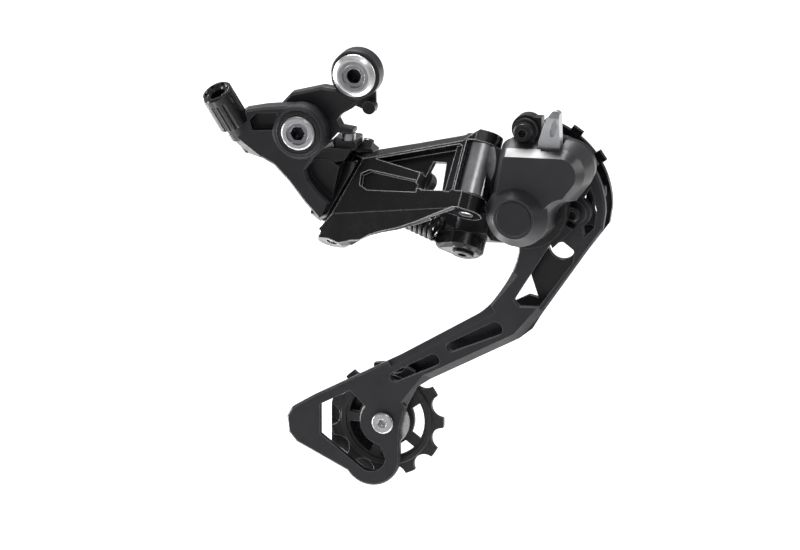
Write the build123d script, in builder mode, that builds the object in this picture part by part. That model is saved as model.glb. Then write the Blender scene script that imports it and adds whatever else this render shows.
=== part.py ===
from build123d import *
import math
import os

# Rear bicycle derailleur, long-cage clutch type, at rest in its outermost position.
# Frame: +X bicycle forward, +Y inboard towards the wheel, +Z up, millimetres.
# Origin: the hanger bolt's axis where it meets the outboard face of the frame hanger.

# ---------------------------------------------------------------- driving dimensions
# Axes parallel to Y, as (X, Z)
HANGER = (0, 0)
BRACKET_AXIS = (-20.2, -22.2)
CAGE_AXIS = (66.5, -46.9)
GUIDE_AXIS = (70.5, -44.5)
TENSION_AXIS = (7.0, -140.0)
STOP_PIN_AXIS = (82.5, -50.8)
COVER_SCREW_AXIS = (66.9, -16.4)

# Slanted parallelogram: all four pins share one direction
PIN_DIRECTION = Vector(0.10, 0.70, 1.0).normalized()
FRONT_OUTER_PIN = Vector(48, -11, -35.5)
LINK_LENGTH = 54
REST_ANGLE = -14  # links at rest, about the pin direction, from the bicycle's fore-aft line
INNER_REAR = (-7.3, 16.7)  # rear inner pin from the rear outer pin, in the plane of the pins
INNER_FRONT = (INNER_REAR[0] + LINK_LENGTH, INNER_REAR[1])
OUTER_REAR = (0, 0)
OUTER_FRONT = (LINK_LENGTH, 0)

# Depths (Y) of the stack, outboard is negative
LINK_BACK, LINK_FRONT = -1.6, -7.0
BODY_BACK, BOSS_FRONT = -7.3, -15.5
COVER_BACK, COVER_SHOULDER, COVER_TOP, COLLAR_TOP = -7.2, -15.5, -20.0, -24.0
HOUSING_BACK = 4.6
OUTER_PLATE_FRONT, OUTER_PLATE_BACK = 5.5, 8.0
INNER_PLATE_FRONT, INNER_PLATE_BACK = 16.0, 18.0
PULLEY_MIDDLE = 12.0

# Running gear
CHAIN_PITCH = 12.7
PULLEY_TEETH = 11
PITCH_RADIUS = CHAIN_PITCH / 2 / math.sin(math.pi / PULLEY_TEETH)
TIP_RADIUS = 22.4
PIN_RADIUS = 2.5
PIN_BORE = 2.54
KNUCKLE_RADIUS = 6.2  # front outer barrel
INNER_KNUCKLE_RADIUS = 5.3
BARREL_RADIUS = 5.0
AXLE_RADIUS = 5.0
AXLE_BORE = 5.04
BOLT_RADIUS = 2.5
HEX_5 = 5 / math.sqrt(3)  # corner radius of a 5 mm socket
HEX_3 = 3 / math.sqrt(3)


# ---------------------------------------------------------------- planes and helpers
def facing(depth):
    """Plane at Y = depth that looks outboard, with its own X and Y along X and Z."""
    return Plane(origin=(0, depth, 0), x_dir=(1, 0, 0), z_dir=(0, -1, 0))


fore_aft = (Vector(1, 0, 0) - PIN_DIRECTION * PIN_DIRECTION.X).normalized()
along_link = fore_aft.rotate(Axis((0, 0, 0), tuple(PIN_DIRECTION)), REST_ANGLE)
# PINS looks along the pins: X runs along the links, Y inboard across them.
PINS = Plane(
    origin=FRONT_OUTER_PIN - along_link * LINK_LENGTH,
    x_dir=along_link,
    z_dir=PIN_DIRECTION,
)
# FACE looks outboard, square to the outer link: X along the link, Y along the pins.
FACE = Plane(origin=PINS.origin, x_dir=PINS.x_dir, z_dir=-PINS.y_dir)
SPINDLE_SIDE = Plane.YZ  # looks along +X


def disc(centre, radius, back, front, mode=Mode.ADD):
    """Cylinder along Y between two depths."""
    with BuildSketch(facing(back)) as outline:
        with Locations(centre):
            Circle(radius)
    extrude(outline.sketch, amount=back - front, mode=mode)


def block(points, back, front, mode=Mode.ADD):
    """Prism along Y on an outline of X, Z points."""
    with BuildSketch(facing(back)) as outline:
        Polygon(*points, align=None)
    extrude(outline.sketch, amount=back - front, mode=mode)


def rod(centre, radius, low, high, mode=Mode.ADD):
    """Cylinder along the link pins between two heights."""
    with BuildSketch(PINS.offset(low)) as outline:
        with Locations(centre):
            Circle(radius)
    extrude(outline.sketch, amount=high - low, mode=mode)


def pin_block(points, low, high, mode=Mode.ADD):
    """Prism along the link pins on an outline in the PINS plane."""
    with BuildSketch(PINS.offset(low)) as outline:
        Polygon(*points, align=None)
    extrude(outline.sketch, amount=high - low, mode=mode)


def face_block(points, inner, outer, mode=Mode.ADD):
    """Prism square to the outer link, between two distances outboard of its pins."""
    with BuildSketch(FACE.offset(inner)) as outline:
        Polygon(*points, align=None)
    extrude(outline.sketch, amount=outer - inner, mode=mode)


def socket(centre, corner_radius, back, front):
    """Hexagon socket along Y."""
    with BuildSketch(facing(back)) as outline:
        with Locations(centre):
            RegularPolygon(radius=corner_radius, side_count=6)
    extrude(outline.sketch, amount=back - front, mode=Mode.SUBTRACT)


def ring_hull(circles, back, height, taper=0, shrink=0, bite=None, mode=Mode.ADD):
    """Prism along Y on the belt round several circles, given as (centre, radius)."""
    with BuildSketch(facing(back)) as outline:
        for centre, radius in circles:
            with Locations(centre):
                Circle(radius - shrink)
        make_hull()
        if bite:
            with Locations(bite[0]):
                Circle(bite[1] + shrink, mode=Mode.SUBTRACT)
    extrude(outline.sketch, amount=height, taper=taper, mode=mode)


def wedge_cut(start, end, width, depth, face_depth):
    """Long bevel on a plate's front edge; the material lies to the left of start to end."""
    run = Vector(end[0] - start[0], 0, end[1] - start[1])
    origin = (start[0], face_depth, start[1])
    with BuildSketch(Plane(origin=origin, x_dir=(0, 1, 0), z_dir=run)) as section:
        Polygon((-0.1, -2.0), (-0.1, width), (depth, 0.0), (depth, -2.0), align=None)
    extrude(section.sketch, amount=run.length, mode=Mode.SUBTRACT)


def polar(centre, radius, degrees):
    """Point at a radius and an angle round a centre."""
    angle = math.radians(degrees)
    return (centre[0] + radius * math.cos(angle), centre[1] + radius * math.sin(angle))


def front_edges(part, depth):
    """Edges that lie flat in the plane Y = depth."""
    return part.edges().filter_by_position(Axis.Y, depth - 0.01, depth + 0.01)


os.makedirs("parts", exist_ok=True)


def save(part, name):
    part.label = name
    export_step(part, f"parts/{name}.step")


# ---------------------------------------------------------------- hanger mount
LINK_OUTLINE = [
    (-6.5, -6.5),
    (-13.5, -5.9),
    (-25.7, -9.3),
    (-29.2, -13.2),
    (-29.8, -24.0),
    (-20.2, -32.0),
    (-10.5, -27.0),
    (-7.2, -23.2),
    (-1.0, -23.2),
    (-1.0, -21.6),
    (-6.0, -21.0),
    (-7.4, -18.4),
    (-5.8, -16.0),
    (-1.5, -13.5),
    (4.0, -8.5),
]

with BuildPart() as bracket_link:
    block(LINK_OUTLINE, LINK_BACK, LINK_FRONT)
    disc(BRACKET_AXIS, 10.0, LINK_BACK, LINK_FRONT)
    top_bevel = front_edges(bracket_link, LINK_FRONT).filter_by_position(Axis.Z, -13.3, -5.8)
    chamfer(top_bevel, length=1.0)
    disc(HANGER, 9.6, LINK_BACK, -8.4)
    chamfer(front_edges(bracket_link, -8.4), length=0.6)
    disc(HANGER, 6.05, LINK_BACK, -8.4, Mode.SUBTRACT)
    disc(BRACKET_AXIS, 4.5, LINK_BACK, LINK_FRONT, Mode.SUBTRACT)
save(bracket_link.part, "bracket_link")

with BuildPart() as hanger_bolt:
    disc(HANGER, 8.3, -8.5, -10.3)
    chamfer(front_edges(hanger_bolt, -10.3), length=1.2, length2=1.6)
    disc(HANGER, 6.0, -0.2, -8.5)
    disc(HANGER, 5.0, 9.0, -0.2)
    chamfer(front_edges(hanger_bolt, 9.0), length=1.0)
    disc(HANGER, 4.4, -9.4, -10.3, Mode.SUBTRACT)
    socket(HANGER, HEX_5, -4.5, -9.4)
save(hanger_bolt.part, "hanger_bolt")

STOP_LOBE = (4.4, -13.3)
with BuildPart() as stop_plate:
    disc(HANGER, 8.9, -0.7, LINK_BACK)
    block([(-4.6, -6.0), (-3.6, -13.0), (2.0, -15.0), (6.6, -15.0), (6.4, -6.0)], -0.7, LINK_BACK)
    disc(STOP_LOBE, 2.6, -0.7, -4.6)
    disc(HANGER, 6.05, -0.7, LINK_BACK, Mode.SUBTRACT)
save(stop_plate.part, "stop_plate")

with BuildPart() as bolt_snap_ring:
    disc(HANGER, 7.4, -0.25, -0.7)
    disc(HANGER, 6.0, -0.25, -0.7, Mode.SUBTRACT)
    block([(-1.2, 4.0), (-1.2, 9.0), (1.2, 9.0), (1.2, 4.0)], -0.25, -0.7, Mode.SUBTRACT)
save(bolt_snap_ring.part, "bolt_snap_ring")

with BuildPart() as bracket_axle:
    disc(BRACKET_AXIS, 6.7, -13.5, -16.6)
    chamfer(front_edges(bracket_axle, -16.6), length=0.7)
    disc(BRACKET_AXIS, AXLE_RADIUS, LINK_FRONT, -13.5)
    disc(BRACKET_AXIS, 4.5, LINK_BACK, LINK_FRONT)
    disc(BRACKET_AXIS, 4.2, -16.1, -16.6, Mode.SUBTRACT)
    socket(BRACKET_AXIS, HEX_5, -11.5, -16.1)
save(bracket_axle.part, "bracket_axle")

# ---------------------------------------------------------------- bracket body
# Cable adjuster: its axis leans back, outboard and up from the end of the arm
ADJUSTER_SEAT = Vector(-46.3, -12.0, -20.8)
ADJUSTER = Plane(origin=ADJUSTER_SEAT, x_dir=(0.92, 0, 0.37), z_dir=(-0.348, -0.389, 0.853))
ADJUSTER_LENGTH = 15.6
ADJUSTER_RADIUS = 6.1
STEM_ROOT, STEM_RADIUS = 4.0, 2.2  # how far the stem is sunk into the arm, and its radius
SEAT_FLOOR, SEAT_RADIUS = 9.4, 3.05  # takes a 6 mm ferrule
MOUTH_FLARE = 1.5
CABLE_WAY = 1.2

PANEL_OUTLINE = [
    (-50.4, -21.2),
    (-42.0, -15.3),
    (-34.1, -13.5),
    (-24.0, -12.2),
    (-12.0, -16.0),
    (-9.8, -26.9),
    (-14.5, -32.0),
    (-17.6, -36.6),
    (-16.5, -40.4),
    (-12.5, -45.2),
    (-8.2, -49.0),
    (-10.5, -54.0),
    (-12.6, -55.4),
    (-18.4, -49.2),
    (-24.3, -41.8),
    (-30.2, -35.8),
    (-35.0, -33.4),
    (-42.6, -33.2),
    (-46.7, -28.4),
]
POCKET_OUTLINE = [(-39.6, -18.9), (-37.3, -16.0), (-28.6, -15.2), (-30.6, -22.0), (-38.6, -22.8)]
WEB_OUTLINE = [
    (-25.5, -38.8),
    (-21.5, -34.0),
    (-10.0, -33.4),
    (-6.0, -36.0),
    (-9.5, -52.0),
    (-12.8, -54.6),
    (-19.0, -47.6),
]
EAR_LOW, EAR_HIGH = -22.0, 1.0  # heights of the rear outer barrel's ends
INNER_BARREL_LOW = -11.0
ROOF_LOW, ROOF_HIGH = 7.0, 9.8
LIMIT_SCREWS = {"low_limit_screw": (-1.0, -1.5), "high_limit_screw": (5.2, -1.5)}
B_SCREW_X, B_SCREW_Y = -3.6, -4.0

with BuildPart() as bracket_body:
    block(PANEL_OUTLINE, BODY_BACK, -14.4)
    chamfer(front_edges(bracket_body, -14.4), length=0.8)
    disc(BRACKET_AXIS, 10.4, BODY_BACK, BOSS_FRONT)
    chamfer(front_edges(bracket_body, BOSS_FRONT), length=1.0)
    block(POCKET_OUTLINE, -10.4, -15.0, Mode.SUBTRACT)
    wedge_cut((-49.0, -27.8), (-29.5, -42.0), 4.2, 5.0, -14.4)
    block(WEB_OUTLINE, 5.5, -9.0)
    # round seat at the end of the arm, under the cable adjuster
    with BuildSketch(ADJUSTER.offset(-6.0)):
        Circle(4.3)
    extrude(amount=6.0)
    # barrels for the two rear link pins, and the webs that carry them
    rod(OUTER_REAR, BARREL_RADIUS, EAR_LOW, EAR_HIGH)
    rod(INNER_REAR, BARREL_RADIUS, INNER_BARREL_LOW, EAR_HIGH)
    pin_block([(-3.5, -3.2), (-13.0, -4.0), (-13.0, 9.0), (-10.5, 18.0), (-4.6, 15.2), (2.5, 2.0)],
              INNER_BARREL_LOW, EAR_HIGH)
    pin_block([(-2.0, -4.5), (-9.5, -5.5), (-9.5, 4.0), (-2.0, 4.5)], -21.0, EAR_HIGH)
    # rear wall and roof over the outer link's upper ear
    pin_block([(-13.0, -4.0), (-13.0, 5.0), (-6.9, 5.0), (-6.9, -4.0)], INNER_BARREL_LOW, ROOF_HIGH)
    pin_block([(-13.0, -4.0), (-13.0, 5.0), (4.5, 4.5), (8.6, 1.6), (8.6, -4.0)], ROOF_LOW, ROOF_HIGH)
    # lug for the B-tension screw, in front of the bracket link's foot
    with BuildSketch(Plane.XY.offset(-29.4)):
        with Locations((B_SCREW_X - 1.4, -0.4)):
            RectangleRounded(9.0, 13.0, 2.0)
    extrude(amount=3.0)
    block([(-18.0, -37.0), (-18.0, -33.0), (-9.6, -29.0), (-1.5, -29.0), (-4.0, -33.4)], 5.5, -8.6)
    # room for the bracket link, the outer link's ears and the axle
    disc(BRACKET_AXIS, 10.8, 6.5, BODY_BACK, Mode.SUBTRACT)
    rod(OUTER_REAR, 6.5, EAR_LOW - 9, EAR_LOW, Mode.SUBTRACT)
    rod(OUTER_REAR, 6.5, EAR_HIGH, ROOF_LOW, Mode.SUBTRACT)
    rod(INNER_REAR, 6.3, EAR_HIGH, ROOF_HIGH + 5, Mode.SUBTRACT)
    rod(INNER_REAR, 6.3, -26, INNER_BARREL_LOW, Mode.SUBTRACT)
    rod(OUTER_REAR, PIN_BORE, EAR_LOW - 1, EAR_HIGH + 1, Mode.SUBTRACT)
    rod(INNER_REAR, PIN_BORE, INNER_BARREL_LOW - 1, EAR_HIGH + 1, Mode.SUBTRACT)
    disc(BRACKET_AXIS, 6.4, BODY_BACK, BOSS_FRONT, Mode.SUBTRACT)
    disc(BRACKET_AXIS, 7.0, -13.1, BOSS_FRONT, Mode.SUBTRACT)
    disc(BRACKET_AXIS, 8.8, -14.4, BOSS_FRONT, Mode.SUBTRACT)
    with BuildSketch(ADJUSTER):
        Circle(ADJUSTER_RADIUS + 0.5)
    extrude(amount=ADJUSTER_LENGTH, mode=Mode.SUBTRACT)
    with BuildSketch(ADJUSTER.offset(-STEM_ROOT)):
        Circle(STEM_RADIUS)
    extrude(amount=6.0, mode=Mode.SUBTRACT)
    with BuildSketch(Plane.XY.offset(-31)):
        with Locations((B_SCREW_X, B_SCREW_Y)):
            Circle(2.0)
    extrude(amount=6.0, mode=Mode.SUBTRACT)
    for spot in LIMIT_SCREWS.values():
        rod(spot, 1.25, ROOF_LOW, ROOF_HIGH, Mode.SUBTRACT)
        rod(spot, 2.4, ROOF_HIGH, ROOF_HIGH + 6, Mode.SUBTRACT)
save(bracket_body.part, "bracket_body")

with BuildPart() as axle_dust_ring:
    disc(BRACKET_AXIS, 8.8, -14.4, -15.8)
    chamfer(front_edges(axle_dust_ring, -15.8), length=0.4)
    disc(BRACKET_AXIS, 7.05, -14.4, -15.8, Mode.SUBTRACT)
save(axle_dust_ring.part, "axle_dust_ring")

with BuildPart() as bracket_bush:
    disc(BRACKET_AXIS, 6.4, BODY_BACK, -13.1)
    disc(BRACKET_AXIS, AXLE_BORE, BODY_BACK, -13.1, Mode.SUBTRACT)
save(bracket_bush.part, "bracket_bush")

with BuildPart() as b_tension_screw:
    with BuildSketch(Plane.XY.offset(-30.2)):
        with Locations((B_SCREW_X, B_SCREW_Y)):
            Circle(2.0)
    extrude(amount=6.6)
    with BuildSketch(Plane.XY.offset(-26.3)):
        with Locations((B_SCREW_X, B_SCREW_Y)):
            Circle(2.7)
    extrude(amount=2.6)
save(b_tension_screw.part, "b_tension_screw")

for screw_name, spot in LIMIT_SCREWS.items():
    with BuildPart() as limit_screw:
        rod(spot, 1.25, ROOF_LOW + 0.05, ROOF_HIGH)
        rod(spot, 2.1, ROOF_HIGH, ROOF_HIGH + 1.7)
        with BuildSketch(PINS.offset(ROOF_HIGH + 0.9)):
            with Locations(spot):
                RegularPolygon(radius=1.15, side_count=6)
        extrude(amount=0.8, mode=Mode.SUBTRACT)
    save(limit_screw.part, screw_name)

with BuildPart() as adjuster_stem:
    with BuildSketch(ADJUSTER.offset(-STEM_ROOT)):
        Circle(STEM_RADIUS)
        Circle(CABLE_WAY, mode=Mode.SUBTRACT)
    extrude(amount=STEM_ROOT + SEAT_FLOOR - 2.0)
save(adjuster_stem.part, "adjuster_stem")

with BuildPart() as adjuster_barrel:
    with BuildSketch(ADJUSTER.offset(0.3)):
        Circle(ADJUSTER_RADIUS)
    extrude(amount=ADJUSTER_LENGTH - 0.3)
    top_rim = adjuster_barrel.faces().sort_by(Axis(ADJUSTER.origin, ADJUSTER.z_dir))[-1]
    chamfer(top_rim.edges(), length=0.6)
    # finger flutes in three groups
    with BuildSketch(ADJUSTER.offset(-1)):
        for group in range(3):
            for flute in (-22, 0, 22):
                with PolarLocations(ADJUSTER_RADIUS + 0.35, 1, start_angle=group * 120 + flute + 30):
                    Circle(0.85)
    extrude(amount=ADJUSTER_LENGTH - 2.2, mode=Mode.SUBTRACT)
    # open mouth: a seat for the cable housing's ferrule, flared and notched at the rim
    with BuildSketch(ADJUSTER.offset(SEAT_FLOOR)):
        Circle(SEAT_RADIUS)
    extrude(amount=ADJUSTER_LENGTH, mode=Mode.SUBTRACT)
    with BuildSketch(ADJUSTER.offset(ADJUSTER_LENGTH - MOUTH_FLARE)) as flare:
        Circle(SEAT_RADIUS)
    extrude(flare.sketch, amount=MOUTH_FLARE, taper=-45, mode=Mode.SUBTRACT)
    with BuildSketch(ADJUSTER.offset(ADJUSTER_LENGTH - MOUTH_FLARE / 2)):
        with PolarLocations(SEAT_RADIUS + 1.2, 6):
            Circle(0.9)
    extrude(amount=MOUTH_FLARE, mode=Mode.SUBTRACT)
    # bore that turns on the stem, and the cable's way through
    with BuildSketch(ADJUSTER):
        Circle(STEM_RADIUS + 0.06)
    extrude(amount=SEAT_FLOOR - 1.4, mode=Mode.SUBTRACT)
    with BuildSketch(ADJUSTER):
        Circle(CABLE_WAY)
    extrude(amount=ADJUSTER_LENGTH, mode=Mode.SUBTRACT)
save(adjuster_barrel.part, "adjuster_barrel")

# ---------------------------------------------------------------- outer link
FACE_OUT = 7.7  # the front face stands this far outboard of the pins
FACE_IN = 5.4
REAR_LOW_EAR, REAR_HIGH_EAR = (-30.0, -22.3), (1.3, 6.5)
FRONT_LOW_EAR, FRONT_HIGH_EAR = (-15.0, -8.3), (12.3, 17.0)

LINK_SHEET = [
    (-4.6, -26.6),
    (-1.6, -29.6),
    (4.6, -31.4),
    (9.6, -31.2),
    (13.4, -29.4),
    (17.2, -27.4),
    (22.0, -25.8),
    (28.6, -24.2),
    (36.6, -21.4),
    (46.3, -17.4),
    (52.0, -15.0),
    (54.0, -8.3),
    (51.0, -8.3),
    (51.0, 12.3),
    (54.0, 12.3),
    (54.0, 17.0),
    (50.5, 17.0),
    (28.4, 11.4),
    (14.3, 8.4),
    (4.0, 6.5),
    (-1.0, 5.0),
]
FIN = [
    (-4.6, -26.6),
    (-1.6, -29.6),
    (4.0, -31.2),
    (8.0, -30.4),
    (11.0, -28.2),
    (14.0, -22.3),
    (-4.6, -22.3),
]
LOWER_STRIP = [
    (7.0, -30.6),
    (9.6, -31.0),
    (13.4, -29.4),
    (17.2, -27.4),
    (22.0, -25.8),
    (28.6, -24.2),
    (36.6, -21.4),
    (42.0, -19.2),
    (42.0, -10.0),
    (7.0, -10.0),
]
LINK_BACKING = [(10.0, -11.0), (48.6, -11.0), (48.6, 16.0), (28.4, 11.4), (10.0, 7.6)]
WEDGE = [(14.0, 2.0), (32.0, 6.3), (46.6, 9.8), (46.0, -8.8), (36.8, -9.2), (35.4, -2.4)]
WEDGE_SIDE = [(45.0, 9.4), (48.6, 10.2), (49.8, 9.4), (50.0, -8.0), (48.8, -9.0), (45.0, -8.8)]
MARK_FLOOR = [(9.4, -4.4), (12.6, -2.8), (33.6, -5.6), (35.0, -10.2), (13.6, -10.8), (10.0, -9.0)]
WINDOW = [(33.8, -8.6), (34.7, -2.0), (36.4, 4.0), (42.0, 4.0), (43.2, -8.6)]
FRONT_LOW_ROOT = [(40.0, -7.7), (54.5, -7.7), (57.5, -4.5), (52.0, 5.4), (40.0, -5.4)]
FRONT_HIGH_ROOT = [(47.0, -7.7), (54.5, -7.7), (58.5, -5.0), (54.0, 6.4), (47.0, 1.0)]
CLAMP_SPOT = (31.9, -2.6)  # along the link, along the pins
# three points each, along the link, along the pins and outboard, all on the face frame
TOP_BEVEL = [(9.8, 1.9, FACE_OUT), (49.2, 11.6, FACE_OUT), (28.4, 11.5, 2.5)]
EAR_RAMP = [(49.2, 11.6, FACE_OUT), (54.9, 16.1, FACE_OUT), (51.9, 18.1, 3.0)]
LOW_BEVEL = [(7.0, -20.6, FACE_OUT), (52.0, -15.4, FACE_OUT), (14.4, -28.8, 3.6)]
REAR_BEVEL = [(8.6, 1.5, FACE_OUT), (-1.0, -28.0, FACE_OUT), (-6.4, -14.0, 1.4)]


def bevel_plane(points):
    """Plane through three points of the outer link's face frame."""
    first, second, third = [FACE.from_local_coords(point) for point in points]
    return Plane(origin=first, x_dir=second - first, z_dir=(second - first).cross(third - first))


with BuildPart() as outer_link:
    face_block(LINK_SHEET, FACE_IN, FACE_OUT)
    face_block(LINK_BACKING, 1.0, FACE_IN)
    face_block(LOWER_STRIP, 3.2, FACE_IN)
    face_block(FIN, -0.8, FACE_IN)
    # ears round the four pin ends
    for centre, radius, low, high, root in (
        (OUTER_REAR, 6.0, *REAR_LOW_EAR, [(-3.0, -7.7), (11.0, -7.7), (9.0, -3.0), (2.0, 5.5)]),
        (OUTER_REAR, 6.0, *REAR_HIGH_EAR, [(-1.0, -7.7), (14.0, -7.7), (14.0, -1.0), (2.0, 5.5)]),
        (OUTER_FRONT, 5.9, *FRONT_LOW_EAR, FRONT_LOW_ROOT),
        (OUTER_FRONT, 6.8, *FRONT_HIGH_EAR, FRONT_HIGH_ROOT),
    ):
        rod(centre, radius, low, high)
        pin_block(root, low, high)
    # bevels that fall from the front face to the lower edge and to the rear
    split(bisect_by=bevel_plane(LOW_BEVEL), keep=Keep.TOP)
    split(bisect_by=bevel_plane(REAR_BEVEL), keep=Keep.TOP)
    # bevel that falls back to the top edge, and ramps up to the front ear
    with BuildPart(mode=Mode.SUBTRACT):
        with BuildSketch(bevel_plane(TOP_BEVEL)):
            Rectangle(160, 80)
        extrude(amount=30)
        with BuildSketch(bevel_plane(EAR_RAMP)):
            Rectangle(160, 80)
        extrude(amount=30, mode=Mode.INTERSECT)
    # hollows of the front face
    face_block(WEDGE, 3.0, FACE_OUT + 1, Mode.SUBTRACT)
    face_block(WEDGE_SIDE, 6.0, FACE_OUT + 1, Mode.SUBTRACT)
    face_block(MARK_FLOOR, 5.8, FACE_OUT + 1, Mode.SUBTRACT)
    face_block(WINDOW, -5.0, FACE_OUT + 1, Mode.SUBTRACT)
    rod(OUTER_REAR, PIN_RADIUS, -31, 8, Mode.SUBTRACT)
    rod(OUTER_FRONT, PIN_RADIUS, -16, 19, Mode.SUBTRACT)
    # clear the turning barrel and knuckle
    rod(OUTER_REAR, BARREL_RADIUS + 0.3, REAR_LOW_EAR[1], REAR_HIGH_EAR[0], Mode.SUBTRACT)
    rod(OUTER_FRONT, KNUCKLE_RADIUS + 0.3, FRONT_LOW_EAR[1], FRONT_HIGH_EAR[0], Mode.SUBTRACT)
    with BuildSketch(FACE.offset(-2)):
        with Locations(CLAMP_SPOT):
            Circle(2.0)
    extrude(amount=6, mode=Mode.SUBTRACT)
save(outer_link.part, "outer_link")

with BuildPart() as outer_rear_pin:
    rod(OUTER_REAR, PIN_RADIUS, -29.6, 6.2)
save(outer_rear_pin.part, "outer_rear_pin")

with BuildPart() as outer_front_pin:
    rod(OUTER_FRONT, PIN_RADIUS, -14.8, 17.6)
save(outer_front_pin.part, "outer_front_pin")

with BuildPart() as cable_clamp_washer:
    with BuildSketch(FACE.offset(0.0)):
        with Locations((CLAMP_SPOT[0] - 5.4, CLAMP_SPOT[1])):
            Rectangle(6.0, 4.0)
        with Locations(CLAMP_SPOT):
            Circle(4.4)
            Circle(2.0, mode=Mode.SUBTRACT)
    extrude(amount=1.0)
save(cable_clamp_washer.part, "cable_clamp_washer")

with BuildPart() as cable_clamp_bolt:
    with BuildSketch(FACE.offset(-3.6)):
        with Locations(CLAMP_SPOT):
            Circle(4.3)
    extrude(amount=3.6)
    with BuildSketch(FACE.offset(-3.6)):
        with Locations(CLAMP_SPOT):
            RegularPolygon(radius=2.3, side_count=6)
    extrude(amount=2.2, mode=Mode.SUBTRACT)
    with BuildSketch(FACE):
        with Locations(CLAMP_SPOT):
            Circle(2.0)
    extrude(amount=3.4)
save(cable_clamp_bolt.part, "cable_clamp_bolt")

# ---------------------------------------------------------------- inner link
INNER_UPPER_EARS = ((1.3, 5.0), (-9.7, -6.2))  # rear, front
INNER_LOWER_EARS = ((-15.0, -11.3), (-24.5, -18.3))
LOWER_EAR_RADIUS = 7.6
EAR_BEVEL = 1.4
EAR_TAIL, EAR_TAIL_RADIUS = (38.5, 13.6), 2.4
INNER_SHEET = [
    (-6.0, -15.0),
    (2.0, -12.6),
    (12.0, -13.4),
    (24.0, -17.0),
    (34.0, -21.0),
    (41.0, -24.5),
    (47.0, -24.5),
    (47.0, -18.3),
    (41.1, -18.3),
    (41.1, -9.7),
    (47.0, -9.7),
    (46.0, -6.2),
    (38.0, -8.6),
    (20.0, -4.5),
    (0.0, 5.0),
    (-6.0, 5.0),
    (-6.0, 1.3),
    (-1.7, 1.3),
    (-1.7, -11.3),
    (-6.0, -11.3),
]

with BuildPart() as inner_link:
    with BuildSketch(FACE.offset(-INNER_REAR[1] - 2.8)):
        Polygon(*INNER_SHEET, align=None)
    extrude(amount=2.5)
    rod(INNER_REAR, 5.8, *INNER_UPPER_EARS[0])
    rod(INNER_REAR, 5.8, *INNER_LOWER_EARS[0])
    rod(INNER_FRONT, 5.6, *INNER_UPPER_EARS[1])
    # the lower front ear runs back in a rounded web, with a bevelled foot
    ear_low, ear_high = INNER_LOWER_EARS[1]
    for inset, low, high, taper in ((EAR_BEVEL, ear_low, ear_low + EAR_BEVEL, -45),
                                    (0, ear_low + EAR_BEVEL, ear_high, 0)):
        with BuildSketch(PINS.offset(low)) as ear:
            with Locations(INNER_FRONT):
                Circle(LOWER_EAR_RADIUS - inset)
            with Locations(EAR_TAIL):
                Circle(EAR_TAIL_RADIUS - inset)
            make_hull()
        extrude(ear.sketch, amount=high - low, taper=taper)
    rod(INNER_REAR, PIN_RADIUS, -21, 7, Mode.SUBTRACT)
    rod(INNER_FRONT, PIN_RADIUS, -26, -4, Mode.SUBTRACT)
    rod(INNER_REAR, BARREL_RADIUS + 0.3, INNER_LOWER_EARS[0][1], INNER_UPPER_EARS[0][0], Mode.SUBTRACT)
    rod(INNER_FRONT, INNER_KNUCKLE_RADIUS + 0.3, ear_high, INNER_UPPER_EARS[1][0], Mode.SUBTRACT)
save(inner_link.part, "inner_link")

with BuildPart() as inner_rear_pin:
    rod(INNER_REAR, PIN_RADIUS, INNER_LOWER_EARS[0][0], INNER_UPPER_EARS[0][1])
save(inner_rear_pin.part, "inner_rear_pin")

with BuildPart() as inner_front_pin:
    rod(INNER_FRONT, PIN_RADIUS, INNER_LOWER_EARS[1][0], INNER_UPPER_EARS[1][1])
    rod(INNER_FRONT, 4.2, INNER_LOWER_EARS[1][0] - 1.0, INNER_LOWER_EARS[1][0])
    with BuildSketch(PINS.offset(INNER_LOWER_EARS[1][0] - 1.0)):
        with Locations(INNER_FRONT):
            RegularPolygon(radius=HEX_3, side_count=6)
    extrude(amount=2.4, mode=Mode.SUBTRACT)
save(inner_front_pin.part, "inner_front_pin")

# Return spring: a close coil on the parallelogram's long diagonal
SPRING_WIRE = 0.75
SPRING_RADIUS = 4.3
SPRING_TURNS = 13
SPRING_START = PINS.from_local_coords((11.5, 4.8, -10.6))
SPRING_END = PINS.from_local_coords((37.2, 11.2, -18.0))
spring_axis = SPRING_END - SPRING_START

with BuildPart() as return_spring:
    with BuildLine() as coil:
        Helix(
            pitch=spring_axis.length / SPRING_TURNS,
            height=spring_axis.length,
            radius=SPRING_RADIUS,
            center=SPRING_START,
            direction=spring_axis,
        )
    with BuildSketch(Plane(origin=coil.line @ 0, z_dir=coil.line % 0)):
        Circle(SPRING_WIRE)
    sweep(path=coil.line, is_frenet=True)
save(return_spring.part, "return_spring")

# ---------------------------------------------------------------- pivot body
COVER_RINGS = [(CAGE_AXIS, 13.4), ((62.2, -25.0), 5.0), ((83.2, -29.7), 10.4)]
COVER_BITE = ((86.6, -50.6), 8.0)  # keeps the cover off the cage's stop pin
LUG_SPAN = (-28, -62)  # degrees round the cage axis
LEVER_X = (73.5, 81.8)
LEVER_AXIS = (-11.6, -24.4)  # Y, Z of the clutch lever's spindle

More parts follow.
